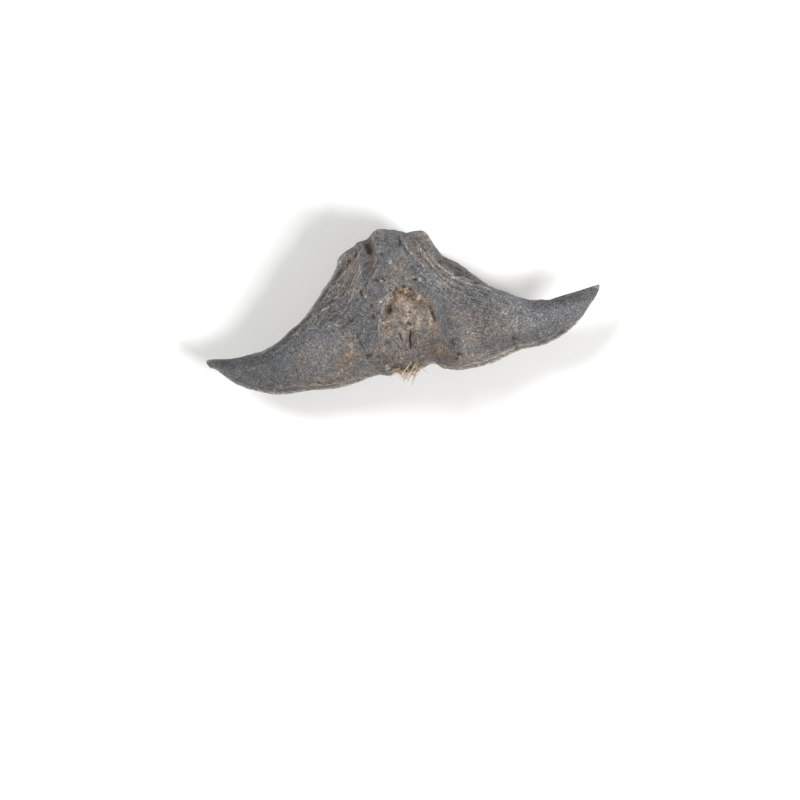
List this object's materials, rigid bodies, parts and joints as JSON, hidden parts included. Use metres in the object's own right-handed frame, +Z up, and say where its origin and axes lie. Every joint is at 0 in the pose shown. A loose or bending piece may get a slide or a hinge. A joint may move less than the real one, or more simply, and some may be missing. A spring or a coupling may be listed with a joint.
{
  "type": "water caltrop nut",
  "caption": "Whole dried water caltrop nut: a flattened knobbly body with ridged flanks, a horn sweeping out at each side, and stiff bristles round its end pore.",
  "frame": {"origin": "centre of the small flat spot that the nut rests on, under its weight", "axes": "+X along the horns towards the slimmer horn, +Y towards the stalk scar, +Z up out of the broad face that shows"},
  "size_m": [0.0761, 0.03, 0.0195],
  "materials": {
    "nut_skin": "dry, matt and dusty grey shell, with brown dust in its hollows and paler worn edges",
    "bristle": "stiff straw-coloured plant bristles, matt"
  },
  "bodies": {
    "root": {"nut": "nut_skin"}
  },
  "joints": []
}
